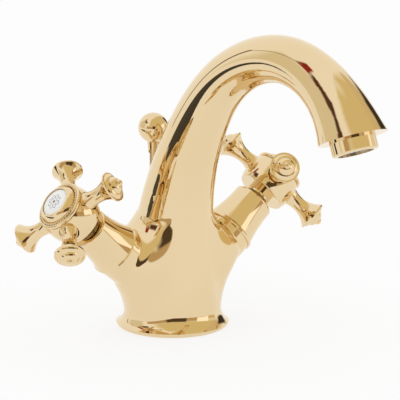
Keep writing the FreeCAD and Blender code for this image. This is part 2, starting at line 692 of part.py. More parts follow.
def make_valve(name, frame):
    """Headwork in a body arm: everything between the chamber's floor and the handle."""
    floor = -size.chamber_depth
    seal_top = floor + size.seat_seal_height
    fixed_top = seal_top + size.disc_height
    moving_top = fixed_top + size.disc_height
    shoulder = moving_top + size.drive_height
    flange_top = size.fibre_height + size.flange_height
    neck_top = size.bonnet_height + size.neck_stand
    cavity = size.disc_radius + size.running_gap
    skirt = cavity + size.skirt_wall
    thread = size.valve_thread - size.fit_gap
    bore = size.spindle_radius + size.running_gap

    washer_label = name + "_valve_washer"
    washer = ring_body(washer_label, size.valve_thread, size.flange_radius, Size(0), size.fibre_height)
    sub_part(washer_label, washer, frame)

    housing_foot = floor + size.seat_squeeze
    shell = turned(name + "_housing_shell", [
        (0, housing_foot),
        (skirt, housing_foot),
        (skirt, -size.thread_length),
        (thread, -size.thread_length),
        (thread, size.fibre_height),
        (size.flange_radius, size.fibre_height),
        (size.flange_radius, flange_top),
        (size.neck_radius, flange_top),
        (size.neck_radius, neck_top),
        (0, neck_top),
    ])
    hexagon = doc.addObject("Part::Prism", name + "_housing_hexagon")
    hexagon.Polygon = 6
    hexagon.setExpression("Circumradius", size.hex_radius.text)
    hexagon.setExpression("Height", size.hex_height.text)
    hexagon.setExpression("Placement", frame_text(z=flange_top))
    window_height = shoulder - size.drive_height / 2
    sideways = f"{frame_text(z=window_height)} * {frame_text(turn_axis=(1, 0, 0), turn=QUARTER_TURN)}"
    housing = cut(name + "_valve_housing", joined(name + "_housing_blank", [shell, hexagon]), [
        drum(name + "_spindle_bore", bore, housing_foot, neck_top),
        drum(name + "_housing_cavity", cavity, housing_foot, shoulder),
        drum(name + "_windows", size.window_radius, -skirt, skirt, sideways),
    ])
    sub_part(name + "_valve_housing", housing, frame)

    seat = ring_body(name + "_seat_seal", size.seat_seal_bore, size.disc_radius, floor, seal_top)
    sub_part(name + "_seat_seal", seat, frame)

    # The fixed disc's ports lie a quarter turn from the moving disc's, so the valve is shut at rest
    ports = []
    for disc, along_x in (("fixed", True), ("moving", False)):
        for number, way in enumerate((-1, 1), start=1):
            shift = size.port_offset * way
            place = frame_text(x=shift) if along_x else frame_text(y=shift)
            bottom, top = (seal_top, fixed_top) if along_x else (fixed_top, moving_top)
            ports.append(drum(f"{name}_{disc}_port_{number}", size.port_radius, bottom, top, place))
    fixed = drum(name + "_fixed_blank", size.disc_radius, seal_top, fixed_top)
    sub_part(name + "_fixed_disc", cut(name + "_fixed_disc", fixed, ports[:2]), frame)
    moving = drum(name + "_moving_blank", size.disc_radius, fixed_top, moving_top)
    dog_foot = moving_top - size.dog_height
    dog_room = size.dog_radius + size.fit_gap
    dog_holes = []
    dogs = []
    notches = []
    for number, way in enumerate((-1, 1), start=1):
        place = frame_text(x=size.port_offset * way)
        dogs.append(drum(f"{name}_dog_{number}", size.dog_radius, dog_foot, shoulder, place))
        dog_holes.append(drum(f"{name}_dog_hole_{number}", dog_room, dog_foot, moving_top, place))
        beside = frame_text(y=size.port_offset * way)
        notches.append(drum(f"{name}_notch_{number}", size.port_radius, moving_top, shoulder, beside))
    sub_part(name + "_moving_disc", cut(name + "_moving_disc", moving, ports[2:] + dog_holes), frame)

    make_spindle(name, frame, moving_top, shoulder, neck_top, dogs, notches)
    make_bonnet(name, frame)


def make_spindle(name, frame, foot, shoulder, neck_top, dogs, notches):
    groove_half = size.oring_radius + size.oring_slack
    groove_floor = size.spindle_radius - size.oring_radius * 2
    clip_bottom = neck_top + size.clip_lift
    clip_top = clip_bottom + size.clip_height
    round_top = size.hub_height - size.hub_neck_drop
    square_top = size.hub_height - size.spindle_drop
    seal_heights = [size.spindle_seal_low, size.spindle_seal_low + size.spindle_seal_step]
    corners = [
        (0, foot),
        (size.drive_radius, foot),
        (size.drive_radius, shoulder),
        (size.spindle_radius, shoulder),
    ]
    for height in seal_heights:
        corners.append((size.spindle_radius, height - groove_half))
        corners.append((groove_floor, height - groove_half))
        corners.append((groove_floor, height + groove_half))
        corners.append((size.spindle_radius, height + groove_half))
    corners += [
        (size.spindle_radius, clip_bottom),
        (size.clip_seat, clip_bottom),
        (size.clip_seat, clip_top),
        (size.spindle_radius, clip_top),
        (size.spindle_radius, round_top),
        (0, round_top),
    ]
    shaft = turned(name + "_shaft", corners)
    square = block(name + "_square", size.square_side, size.square_side, round_top, square_top)
    screw_foot = size.hub_height + size.screw_seat - size.screw_length
    screw_hole = drum(name + "_screw_hole", size.screw_radius + size.fit_gap, screw_foot, square_top)
    blank = joined(name + "_spindle_blank", [shaft, square] + dogs)
    sub_part(name + "_spindle", cut(name + "_spindle", blank, notches + [screw_hole]), frame)

    ring = size.spindle_radius - size.oring_radius
    seals = [torus(f"{name}_oring_{number}", ring, size.oring_radius, height)
             for number, height in enumerate(seal_heights, start=1)]
    sub_part(name + "_spindle_seals", gathered(name + "_spindle_seals", seals), frame)

    clip_ring = ring_body(name + "_clip_ring", size.clip_seat, size.clip_radius, clip_bottom, clip_top)
    reach = size.clip_radius
    mouth = block(name + "_clip_mouth", reach * 2, size.clip_mouth, clip_bottom, clip_top, reach)
    sub_part(name + "_spindle_clip", cut(name + "_spindle_clip", clip_ring, [mouth]), frame)


def make_bonnet(name, frame):
    edge_start = size.bonnet_height - size.bonnet_edge
    roof = size.bonnet_height - size.bonnet_roof
    skirt_start = size.bonnet_rim + (size.bonnet_foot - size.bonnet_skirt)
    hole = size.neck_radius + size.fit_gap
    bonnet = turned(name + "_bonnet", [
        (size.bonnet_inside, 0),
        (size.bonnet_foot, 0),
        (size.bonnet_foot, size.bonnet_rim),
        (size.bonnet_skirt, skirt_start),
        (size.bonnet_top, edge_start),
        (size.bonnet_top - size.bonnet_edge, size.bonnet_height),
        (hole, size.bonnet_height),
        (hole, roof),
        (size.bonnet_inside_top, roof),
        (size.bonnet_inside, size.bonnet_inside_height),
    ], {3: -size.bonnet_curve, 4: size.bonnet_edge})
    sub_part(name + "_bonnet", bonnet, frame)


def make_handle(name, frame, first_angle):
    middle = size.hub_height
    neck_foot = middle - size.hub_neck_drop
    back = middle - size.hub_back
    plug_bore = size.plug_radius + size.fit_gap
    front = middle + size.hub_front
    seat = middle + size.screw_seat
    hub_blank = turned(name + "_hub_blank", [
        (0, neck_foot),
        (size.hub_neck_radius, neck_foot),
        (size.hub_neck_radius, back),
        (size.hub_rim_radius - size.hub_rim_edge, back),
        (size.hub_rim_radius, back + size.hub_rim_edge),
        (size.hub_shoulder, middle + size.hub_shoulder_rise),
        (size.bead_foot, middle + size.hub_shoulder_rise),
        (size.bead_foot, middle + size.bead_start),
        (size.bead_foot, middle + size.bead_end),
        (size.rope_seat, middle + size.bead_end),
        (size.rope_seat, front),
        (plug_bore, front),
        (plug_bore, middle + size.plug_floor),
        (size.screw_well, middle + size.plug_floor),
        (size.screw_well, seat),
        (0, seat),
    ], {3: size.hub_rim_edge, 4: size.hub_barrel, 7: size.bead_curve})
    square = size.square_side + size.fit_gap * 2
    socket_top = middle - size.spindle_drop + size.socket_room
    tools = [
        block(name + "_hub_square", square, square, neck_foot, socket_top),
        drum(name + "_hub_screw_hole", size.screw_radius + size.fit_gap, neck_foot, seat),
    ]
    outwards = frame_text(turn_axis=(0, 1, 0), turn=QUARTER_TURN)
    for number in range(1, HANDLE_ARMS + 1):
        angle = first_angle + FULL_TURN * (number - 1) / HANDLE_ARMS
        arm_frame = f"{frame_text(z=middle, turn=angle)} * {outwards}"
        root = size.handle_root + size.fit_gap
        tenon = size.tenon_radius + size.fit_gap
        tools += [
            drum(f"{name}_arm_seat_{number}", root, size.handle_seat, size.handle_waist_place, arm_frame),
            drum(f"{name}_tenon_hole_{number}", tenon, size.tenon_start, size.handle_seat, arm_frame),
        ]
        make_handle_arm(f"{name}_arm_{number}", frame, angle)
    sub_part(name + "_handle_hub", cut(name + "_handle_hub", hub_blank, tools), frame)

    screw_top = seat + size.screw_head_height
    screw_blank = turned(name + "_screw_blank", [
        (0, seat - size.screw_length),
        (size.screw_radius, seat - size.screw_length),
        (size.screw_radius, seat),
        (size.screw_head, seat),
        (size.screw_head, screw_top),
        (0, screw_top),
    ])
    slot_floor = screw_top - size.screw_slot
    slot = block(name + "_screw_slot", size.screw_head * 2, size.screw_slot, slot_floor, screw_top)
    sub_part(name + "_handle_screw", cut(name + "_handle_screw", screw_blank, [slot]), frame)
    make_index(name, frame, middle, front)


def make_handle_arm(label, frame, angle):
    """Turned arm that lies along X before it is swung to its angle; its outline is (distance, radius)."""
    waist = (size.handle_waist_place, size.handle_waist)
    collar_end = size.handle_seat + size.root_collar
    rim_end = size.handle_rim_place + size.handle_rim_height
    cap_end = rim_end + size.cap_length
    button_end = cap_end + size.button_length
    tip = button_end + size.nipple_length
    root_curve = tangent_curve(waist, (collar_end, size.handle_root))
    trumpet_curve = tangent_curve(waist, (size.handle_rim_place, size.handle_rim))
    corners = [
        (size.tenon_start, 0),
        (tip, 0),
        (button_end, size.nipple_radius),
        (cap_end, size.button_radius),
        (rim_end, size.cap_radius),
        (rim_end, size.handle_rim),
        (size.handle_rim_place, size.handle_rim),
        waist,
        (collar_end, size.handle_root),
        (size.handle_seat, size.handle_root),
        (size.handle_seat, size.tenon_radius),
        (size.tenon_start, size.tenon_radius),
    ]
    bends = {
        1: (size.nipple_radius + size.nipple_length) / 2,
        2: size.button_curve,
        3: size.cap_curve,
        6: -trumpet_curve,
        7: -root_curve,
    }
    swing = frame_text(y=size.hub_height, turn_axis=(0, 1, 0), turn=angle)
    sub_part(label, revolved(label, corners, bends, "H_Axis", swing), frame)


def tangent_curve(level_end, other_end):
    """Radius of the arc that leaves the first point along the arm and passes through the second."""
    across = other_end[0] - level_end[0]
    up = other_end[1] - level_end[1]
    return (across ** 2 + up ** 2) / (up * 2)


def make_index(name, frame, middle, front):
    """Bezel, rope ring and white disc in the middle of a handle."""
    seat = middle + size.index_seat
    bezel_top = middle + size.bezel_top
    disc_bore = size.index_radius + size.fit_gap
    bezel = turned(name + "_index_bezel", [
        (size.bezel_bore, front - size.bezel_plug),
        (size.plug_radius, front - size.bezel_plug),
        (size.plug_radius, front),
        (size.bezel_radius, front),
        (size.bezel_radius, front + size.bezel_foot_height),
        (disc_bore + size.bezel_rim, bezel_top),
        (disc_bore, bezel_top),
        (disc_bore, seat),
        (size.bezel_bore, seat),
    ], {4: size.bezel_curve})
    sub_part(name + "_index_bezel", bezel, frame)

    rope = torus(name + "_rope_ring", size.rope_radius, size.rope_section, front + size.rope_section, frame)
    sub_part(name + "_rope_ring", rope)

    edge = seat + size.index_edge
    crown = edge + size.index_dome - (size.index_dome ** 2 - size.index_radius ** 2) ** 0.5
    disc = turned(name + "_index_disc", [
        (0, seat),
        (size.index_radius, seat),
        (size.index_radius, edge),
        (0, crown),
    ], {2: size.index_dome})
    sub_part(name + "_index_disc", disc, frame)


def check_document():
    """Stop before anything is written if a feature failed or a piece is not a sound solid."""
    for item in doc.Objects:
        if "Invalid" in item.State or "Error" in item.State:
            raise RuntimeError(f"{item.Name} failed: {item.State}")
    for piece in SUB_PARTS:
        if piece.Shape.isNull() or not piece.Shape.isValid() or not piece.Shape.Solids:
            raise RuntimeError(f"{piece.Label} has no sound solid")


make_mixer_body()
base_seal = ring_body("base_seal", size.seal_inner, size.seal_outer, Size(0), size.seal_height)
sub_part("base_seal", base_seal)
make_aerator()
make_lift_rod()
for valve_side, valve_name, valve_angle in ((-1, "hot", size.hot_angle), (1, "cold", size.cold_angle)):
    make_valve(valve_name, valve_frame(valve_side))
    make_handle(valve_name, valve_frame(valve_side), valve_angle)
doc.recompute()
check_document()
os.makedirs("parts", exist_ok=True)
for piece in SUB_PARTS:
    piece.Shape.exportStep(f"parts/{piece.Label}.step")
print(f"{len(SUB_PARTS)} sub-parts written")
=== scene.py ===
# %% [markdown]
# A basin mixer in polished gold plate: a swan-neck spout, two cross handles with white index discs and the
# lift rod of a pop-up waste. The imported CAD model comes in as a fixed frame, in metres, with every piece in
# its place. This lesson adds what a CAD kernel is poor at: finishes, fine ornament, light and a camera.

# %% Load the frame
import json
import math

import bpy
import numpy as np
from mathutils import Matrix, Vector


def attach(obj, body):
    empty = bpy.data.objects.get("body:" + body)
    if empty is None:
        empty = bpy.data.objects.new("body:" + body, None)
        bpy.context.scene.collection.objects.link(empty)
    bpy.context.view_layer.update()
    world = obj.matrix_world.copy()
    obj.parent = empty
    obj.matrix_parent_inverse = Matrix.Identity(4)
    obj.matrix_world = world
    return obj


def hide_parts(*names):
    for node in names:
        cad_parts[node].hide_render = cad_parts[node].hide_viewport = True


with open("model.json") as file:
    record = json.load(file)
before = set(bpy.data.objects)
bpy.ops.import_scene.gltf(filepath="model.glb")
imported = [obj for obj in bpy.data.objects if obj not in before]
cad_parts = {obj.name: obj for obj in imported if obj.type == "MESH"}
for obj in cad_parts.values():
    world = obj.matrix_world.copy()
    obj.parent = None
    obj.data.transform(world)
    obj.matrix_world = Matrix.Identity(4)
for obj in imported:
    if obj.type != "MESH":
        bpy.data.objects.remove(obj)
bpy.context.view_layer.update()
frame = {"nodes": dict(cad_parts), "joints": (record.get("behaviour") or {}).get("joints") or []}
nodes = frame["nodes"]
joints = {joint["name"]: joint for joint in frame["joints"]}
MM = 0.001
print("pieces in the frame:", len(nodes))

# %% [markdown]
# A finish is a node tree. Adding Math nodes by hand hides what a shader does, so one small class wraps a
# socket and lets plain plus and times signs add them. Any other node comes from one method, which takes its
# kind, its settings and what its sockets are plugged with.


# %% Sums of sockets
class Value:
    """A socket of a node tree that can be used in sums."""

    def __init__(self, tree, socket):
        self.tree = tree
        self.socket = socket

    def math(self, operation, *terms):
        return add_node(self.tree, "ShaderNodeMath", {"operation": operation}, dict(enumerate(terms)))

    def __add__(self, other):
        return self.math("ADD", self, other)

    __radd__ = __add__

    def __mul__(self, other):
        return self.math("MULTIPLY", self, other)

    __rmul__ = __mul__

    def __sub__(self, other):
        return self.math("SUBTRACT", self, other)

    def __rsub__(self, other):
        return self.math("SUBTRACT", other, self)

    def __truediv__(self, other):
        return self.math("DIVIDE", self, other)

    def __pow__(self, power):
        return self.math("POWER", self, power)

    def absolute(self):
        return self.math("ABSOLUTE", self)

    def cosine(self):
        return self.math("COSINE", self)

    def sine(self):
        return self.math("SINE", self)

    def clamped(self):
        return add_node(self.tree, "ShaderNodeClamp", {}, {"Value": self})


def plug(tree, slot, value):
    """Links a value to a socket, or sets a plain number or colour on it."""
    if isinstance(value, Value):
        tree.links.new(value.socket, slot)
    elif slot.type == "RGBA":
        slot.default_value = (*value, 1.0)
    else:
        slot.default_value = value


def add_node(tree, kind, settings, inputs, output=0):
    """Adds a node, sets it up, plugs its inputs and gives one of its outputs, if it has any."""
    node = tree.nodes.new(kind)
    for name, setting in settings.items():
        setattr(node, name, setting)
    for name, value in inputs.items():
        plug(tree, node.inputs[name], value)
    return Value(tree, node.outputs[output]) if node.outputs else None


print("sums of sockets ready")


# %% A sheet of nodes
class Sheet:
    """A node tree that is written from top to bottom."""

    def __init__(self, tree):
        self.tree = tree
        tree.nodes.clear()

    def add(self, kind, settings=None, inputs=None, output=0):
        return add_node(self.tree, kind, settings or {}, inputs or {}, output)

    def mix(self, factor, first, second):
        """A colour between two; a Mix node's sockets share their names, so they go by number."""
        FACTOR, FIRST, SECOND, RESULT = 0, 6, 7, 2
        inputs = {FACTOR: factor, FIRST: first, SECOND: second}
        return self.add("ShaderNodeMix", {"data_type": "RGBA"}, inputs, RESULT)

    def parts(self, vector):
        """The three numbers of a vector."""
        split = self.add("ShaderNodeSeparateXYZ", {}, {"Vector": vector})
        return [Value(self.tree, socket) for socket in split.socket.node.outputs]


def screen_colour(red, green, blue):
    """Linear colour of three screen values from 0 to 255, by the standard curve of a screen."""
    linear = []
    for level in (red / 255, green / 255, blue / 255):
        linear.append(level / 12.92 if level <= 0.04045 else ((level + 0.055) / 1.055) ** 2.4)
    return tuple(linear)


print("sheets ready")

# %% [markdown]
# The mixer's finishes all start the same way: a noise on Object coordinates, which stay with the piece when
# it turns, and a Principled shader. A few helpers make that start, and each finish adds its own numbers.


# %% A start for every finish
def new_finish(name):
    """A new material with an empty sheet, and the place on the piece that its patterns read."""
    material = bpy.data.materials.new(name)
    material.use_nodes = True
    sheet = Sheet(material.node_tree)
    place = sheet.add("ShaderNodeTexCoord", output="Object")
    return material, sheet, place


def noise(sheet, place, scale, detail=2.0):
    return sheet.add("ShaderNodeTexNoise", {}, {"Vector": place, "Scale": scale, "Detail": detail}, "Fac")


def bumped(sheet, height, distance):
    return sheet.add("ShaderNodeBump", {}, {"Height": height, "Distance": distance, "Strength": 1.0})


def shade(sheet, **sockets):
    """Ends a sheet in a Principled shader; a socket's name has underscores for its spaces."""
    inputs = {name.replace("_", " "): value for name, value in sockets.items()}
    surface = sheet.add("ShaderNodeBsdfPrincipled", {}, inputs)
    sheet.add("ShaderNodeOutputMaterial", {}, {"Surface": surface})


finishes = {}
print("finishes can start")

# %% [markdown]
# Gold plate over buffed brass is close to a mirror. What tells it from a perfect one is a faint cloudiness
# left by the buffing wheel and a slow drift of the plate's colour. Pictures of real plate could show both,
# but two noises need no file, have no seams and fit every piece.

# %% Polished gold plate
GOLD_PALE = screen_colour(235, 213, 174)
GOLD_DEEP = screen_colour(231, 206, 160)
DRIFT_SCALE = 22.0
CLOUD_SCALE = 140.0
BEST_POLISH = 0.012
CLOUDINESS = 0.035
gold, sheet, place = new_finish("polished_gold_plate")
drift = noise(sheet, place, DRIFT_SCALE, detail=3.0)
cloud = noise(sheet, place, CLOUD_SCALE, detail=4.0)
shade(sheet, Base_Color=sheet.mix(drift, GOLD_PALE, GOLD_DEEP), Metallic=1.0,
      Roughness=cloud * CLOUDINESS + BEST_POLISH)
finishes["gold_plate"] = gold
print("gold plate:", gold.name)

# %% [markdown]
# Inside the mixer sit plainer materials that show only when a piece is lifted out or seen from below. They
# share one rule: a fine speckle drives colour, roughness and a very shallow bump.

# %% Plain finishes of the inner pieces
# name, light and dark colour, metallic, least roughness, its spread, scale of the speckle
PLAIN = {
    "brass": ("machined_brass", (0.72, 0.52, 0.24), (0.62, 0.43, 0.18), 1.0, 0.22, 0.14, 900.0),
    "steel": ("drawn_steel", (0.60, 0.60, 0.58), (0.48, 0.48, 0.47), 1.0, 0.24, 0.16, 1200.0),
    "alumina": ("lapped_alumina", (0.84, 0.83, 0.79), (0.78, 0.77, 0.72), 0.0, 0.30, 0.15, 700.0),
    "rubber": ("matt_rubber", (0.030, 0.030, 0.032), (0.050, 0.049, 0.047), 0.0, 0.55, 0.25, 1500.0),
    "fibre": ("pressed_fibre", (0.45, 0.12, 0.08), (0.34, 0.08, 0.05), 0.0, 0.75, 0.20, 1800.0),
    "white_plastic": ("moulded_white_plastic", (0.80, 0.80, 0.78), (0.74, 0.74, 0.71), 0.0, 0.35, 0.12,
                      600.0),
}
SPECK_DEPTH = 0.04 * MM
for slot, (name, light, dark, metal, rough, spread, grain) in PLAIN.items():
    material, sheet, place = new_finish(name)
    speck = noise(sheet, place, grain, detail=3.0)
    shade(sheet, Base_Color=sheet.mix(speck, light, dark), Metallic=metal, Roughness=speck * spread + rough,
          Normal=bumped(sheet, speck, SPECK_DEPTH))
    finishes[slot] = material
print("plain finishes:", len(PLAIN))

# %% [markdown]
# The index discs are white porcelain under a clear glaze, with a small plain rosette printed in the middle.
# The print follows the disc's own UV map, so it turns with the handle. Its lines are bands of the radius,
# and a cosine of the angle bends them into petals. A picture could do the same, but lines that are worked
# out stay sharp from close by.


# %% Porcelain with its print
def band(value, middle, half, soft):
    """One inside a band of values, fading to nothing at its edges."""
    return ((half - (value - middle).absolute()) / soft + 0.5).clamped()


GLAZE_WHITE = screen_colour(243, 243, 240)
GLAZE_CREAM = screen_colour(238, 237, 232)
PRINT_GREY = screen_colour(70, 70, 74)
GLAZE_SCALE = 160.0
GLAZE_POLISH = 0.05
GLAZE_CLOUDINESS = 0.06
GLAZE_COAT = 0.6
PETALS = 8.0
PETAL_DEPTH = 0.06
OUTER_LINE = 0.46
INNER_LINE = 0.27
LINE_HALF = 0.022
LINE_SOFT = 0.03
HEART_RADIUS = 0.10
HEART_SOFT = 0.04
porcelain, sheet, place = new_finish("glazed_porcelain")
across, along = sheet.parts(sheet.add("ShaderNodeUVMap", {"uv_map": "face"}))[:2]
across = across * 2.0 - 1.0
along = along * 2.0 - 1.0
radius = (across ** 2 + along ** 2) ** 0.5
angle = radius.math("ARCTAN2", along, across)
petal = (angle * PETALS).cosine() * PETAL_DEPTH
outer = band(radius - petal, OUTER_LINE, LINE_HALF, LINE_SOFT)
inner = band(radius + petal, INNER_LINE, LINE_HALF, LINE_SOFT)
heart = band(radius, 0.0, HEART_RADIUS, HEART_SOFT)
printed = (outer + inner + heart).clamped()
cloud = noise(sheet, place, GLAZE_SCALE)
fired = sheet.mix(cloud, GLAZE_WHITE, GLAZE_CREAM)
shade(sheet, Base_Color=sheet.mix(printed, fired, PRINT_GREY),
      Roughness=cloud * GLAZE_CLOUDINESS + GLAZE_POLISH, Coat_Weight=GLAZE_COAT)
finishes["porcelain"] = porcelain
print("porcelain:", porcelain.name)

# %% [markdown]
# Each CAD piece comes with a plain material that is named after its slot. The finish of that slot takes
# its place, so that no piece has to be named here.

# %% Give the CAD pieces their finishes
for node in nodes.values():
    slot = node.material_slots[0].material.name
    node.material_slots[0].material = finishes[slot]
print("finishes in use:", len({node.material_slots[0].material.name for node in nodes.values()}))

# %% [markdown]
# A handle is turned about the valve's axis, which the record gives with the joint. A frame with that axis
# as its own upright lets each round piece be drawn standing straight and then laid in place.


# %% The frame of each handle
def upright_frame(middle, axis):
    """A frame at a point whose third direction is the axis and whose second is as near +Y as can be."""
    upright = Vector(axis).normalized()
    first = Vector((0.0, 1.0, 0.0)).cross(upright).normalized()
    second = upright.cross(first)
    turn = Matrix((first, second, upright)).transposed().to_4x4()
    return Matrix.Translation(Vector(middle)) @ turn


handle_frames = {}
for side in ("hot", "cold"):
    joint = joints[side + "_valve_turn"]
    handle_frames[side] = upright_frame(joint["pos_m"], joint["axis"])
    print(side, "handle leans along", [round(part, 3) for part in joint["axis"]])

# %% [markdown]
# A piece that is made here tells the frame three things: the body that it rides on, the slot of its finish
# and the CAD piece that it replaces. One helper says all three.

# %% Put a piece in the place of a CAD one
scene = bpy.context.scene


def add_piece(name, mesh, slot, body, replaced):
    """Puts a finished mesh on a body, in the place of a CAD piece."""
    piece = bpy.data.objects.new(name, mesh)
    scene.collection.objects.link(piece)
    if not mesh.materials:
        mesh.materials.append(finishes[slot])
    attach(piece, body)
    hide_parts(replaced)
    print(name, "takes the place of", replaced, "with", len(mesh.polygons), "faces")


print("pieces can be put in place")

# %% [markdown]
# The body is one casting: column, neck and the two valve arms run into each other like melted wax. The CAD
# model joins them with plain fillets. A fuller blend comes from distance fields: each form is a function
# that is zero on its skin, and a smooth minimum of two such functions is zero on a skin that flows from one
# to the other. A remesh could draw that skin too, but it would wear down the casting's crisp rims. So the
# CAD mesh is copied, made finer near the arms and slid onto the skin, and the rest of it stays as it is.

# %% Distance fields of the column and an arm
SEAT_OFFSET = 33.3 * MM
SEAT_HEIGHT = 42.1 * MM
VALVE_TILT = math.radians(39.0)
ARM_RADIUS = 12.6 * MM
ARM_ROOT = 34.0 * MM
BEND_HEIGHT = 28.6 * MM
RISE_BEND = 137.2 * MM
THROAT_RADIUS = 11.1 * MM
THINNING = 10.5 * MM
THINNING_RUN = 151.15 * MM
WAIST_HEIGHT = 10.0 * MM
WAIST_RADIUS = 22.6 * MM
SHOULDER_RADIUS = 21.6 * MM
HOLLOW_RADIUS = 9.0 * MM
HOLLOW_MIDDLE = (31.6 * MM, 10.107 * MM)
TINY = 1e-9


def column_gap(points):
    """Distance of points outside the foot's hollow, the column and the rising neck."""
    x, y, z = points.T
    ahead = RISE_BEND + y
    above = z - BEND_HEIGHT
    run = np.clip(RISE_BEND * np.arctan2(above, ahead) / THINNING_RUN, 0.0, 1.0)
    neck = np.hypot(x, RISE_BEND - np.hypot(ahead, above)) - THROAT_RADIUS - THINNING * (1.0 - run) ** 2
    column = np.interp(z, [WAIST_HEIGHT, BEND_HEIGHT], [WAIST_RADIUS, SHOULDER_RADIUS])
    below = np.clip(z - HOLLOW_MIDDLE[1], -HOLLOW_RADIUS, 0.0)
    hollow = HOLLOW_MIDDLE[0] - np.sqrt(HOLLOW_RADIUS ** 2 - below ** 2)
    stem = np.hypot(x, y) - np.where(z < WAIST_HEIGHT, hollow, column)
    return np.where(above > 0.0, neck, stem)


def arm_gap(points, side):
    """Distance of points outside an arm, their depth along it and their place round it (1 is its top)."""
    lean = np.array((side * math.cos(VALVE_TILT), 0.0, math.sin(VALVE_TILT)))
    top = np.array((-side * math.sin(VALVE_TILT), 0.0, math.cos(VALVE_TILT)))
    offset = points - np.array((side * SEAT_OFFSET, 0.0, SEAT_HEIGHT))
    depth = -(offset @ lean)
    upward = offset @ top
    spread = np.hypot(upward, offset[:, 1])
    gap = np.hypot(spread, np.clip(depth - ARM_ROOT, 0.0, None)) - ARM_RADIUS
    return gap, depth, upward / np.maximum(spread, TINY)


print("arm seats stand", round(SEAT_HEIGHT / MM, 1), "mm high")

# %% [markdown]
# How far a blend reaches is not the same everywhere. It grows from the arm's rim inwards, more slowly on the
# underside. On the upper side it gets smaller again deeper in, so that the neck keeps its width.

# %% The blended skin
UPPER_REACH = 22.0 * MM
LOWER_REACH = 16.5 * MM
NO_REACH = 0.001 * MM
UPPER_START = (-1.0 * MM, 8.0 * MM)
LOWER_START = (0.0, 16.0 * MM)
FADE = 0.68
UPPER_FADE = (10.0 * MM, 30.0 * MM)
LOW_SIDE = (0.25, 0.95)
SKIN = -0.15 * MM
BLEND_TOP = 95.0 * MM
SLOPE_STEP = 0.02 * MM


def eased(value, start, end):
    """Goes smoothly from nothing at the start to one at the end."""
    share = np.clip((value - start) / (end - start), 0.0, 1.0)
    return share * share * (3.0 - 2.0 * share)


def casting_gap(points):
    """Distance outside the blended casting, and outside the plain forms."""
    blended = column_gap(points)
    plain = blended
    for side in (-1.0, 1.0):
        gap, depth, place = arm_gap(points, side)
        upper = UPPER_REACH * (1.0 - FADE * eased(depth, *UPPER_FADE)) * eased(depth, *UPPER_START)
        lower = LOWER_REACH * eased(depth, *LOWER_START)
        low = eased(-place, *LOW_SIDE)
        reach = upper + (lower - upper) * low + NO_REACH
        overlap = np.clip(reach - np.abs(blended - gap), 0.0, None) / reach
        blended = np.minimum(blended, gap) - overlap ** 2 * reach / 4.0
        plain = np.minimum(plain, gap)
    return blended, plain


def outward(points):
    """Direction in which the blended distance grows."""
    slopes = []
    for nudge in np.eye(3) * SLOPE_STEP:
        slopes.append(casting_gap(points + nudge)[0] - casting_gap(points - nudge)[0])
    return np.stack(slopes, axis=1) / (2.0 * SLOPE_STEP)


def swelling(points):
    """How far the blended skin stands off the plain forms, on the outside of the casting."""
    blended, plain = casting_gap(points)
    return np.where((plain > SKIN) & (points[:, 2] < BLEND_TOP), plain - blended, 0.0)


print("blend reaches in mm, above and below an arm:", UPPER_REACH / MM, LOWER_REACH / MM)

# %% [markdown]
# A mesh from CAD has long thin triangles, too coarse to bend. Its corners and their normals are read into
# arrays, where thousands of triangles can be worked on at once.


# %% Read the triangles of the CAD casting
def read_triangles(mesh):
    """Corner points and corner normals of a mesh's triangles."""
    mesh.calc_loop_triangles()
    count = len(mesh.loop_triangles)
    points = np.empty(len(mesh.vertices) * 3)
    mesh.vertices.foreach_get("co", points)
    normals = np.empty(len(mesh.loops) * 3)
    mesh.corner_normals.foreach_get("vector", normals)
    vertices = np.empty(count * 3, dtype=int)
    mesh.loop_triangles.foreach_get("vertices", vertices)
    loops = np.empty(count * 3, dtype=int)
    mesh.loop_triangles.foreach_get("loops", loops)
    return points.reshape(-1, 3)[vertices].reshape(-1, 3, 3), normals.reshape(-1, 3)[loops].reshape(-1, 3, 3)


corners, normals = read_triangles(nodes["mixer_body"].data)
print("triangles of the CAD casting:", len(corners))

# %% [markdown]
# Long edges near the blend are halved again and again, always in both triangles that share the edge, so that
# no crack opens. The longest edges go first.

# %% Make the copy finer near the blend
NEAR_BLEND = 0.01 * MM
EDGE_LIMITS = (8.0 * MM, 4.0 * MM, 2.0 * MM, 1.1 * MM)


def unit(vectors):
    """The same directions with a length of one."""
    return vectors / np.maximum(np.linalg.norm(vectors, axis=-1, keepdims=True), TINY)


def halved(corners, normals, longest):
    """Halves every edge near the blend that is longer than it may be, in both triangles that share it."""
    busy = True
    while busy:
        busy = False
        for first, second in ((0, 1), (1, 2), (2, 0)):
            start, end = corners[:, first], corners[:, second]
            middle = (start + end) / 2.0
            long = np.linalg.norm(end - start, axis=1) > longest
            near = np.maximum.reduce([swelling(start), swelling(end), swelling(middle)]) > NEAR_BLEND
            split = long & near
            if not split.any():
                continue
            busy = True
            middle_normal = unit(normals[:, first] + normals[:, second])[split]
            halves, half_normals = [corners[~split]], [normals[~split]]
            for moved in (second, first):
                half, half_normal = corners[split].copy(), normals[split].copy()
                half[:, moved] = middle[split]
                half_normal[:, moved] = middle_normal
                halves.append(half)
                half_normals.append(half_normal)
            corners, normals = np.concatenate(halves), np.concatenate(half_normals)
    return corners, normals


for longest in EDGE_LIMITS:
    corners, normals = halved(corners, normals, longest)
print("triangles of the finer copy:", len(corners))

# %% [markdown]
# Corners that share a place are welded. Each point near the blend then walks along the slope of the distance
# until that is close to zero: the distance and its slope tell how long the next step has to be. The slope at
# the end is also the smooth normal of the new skin.

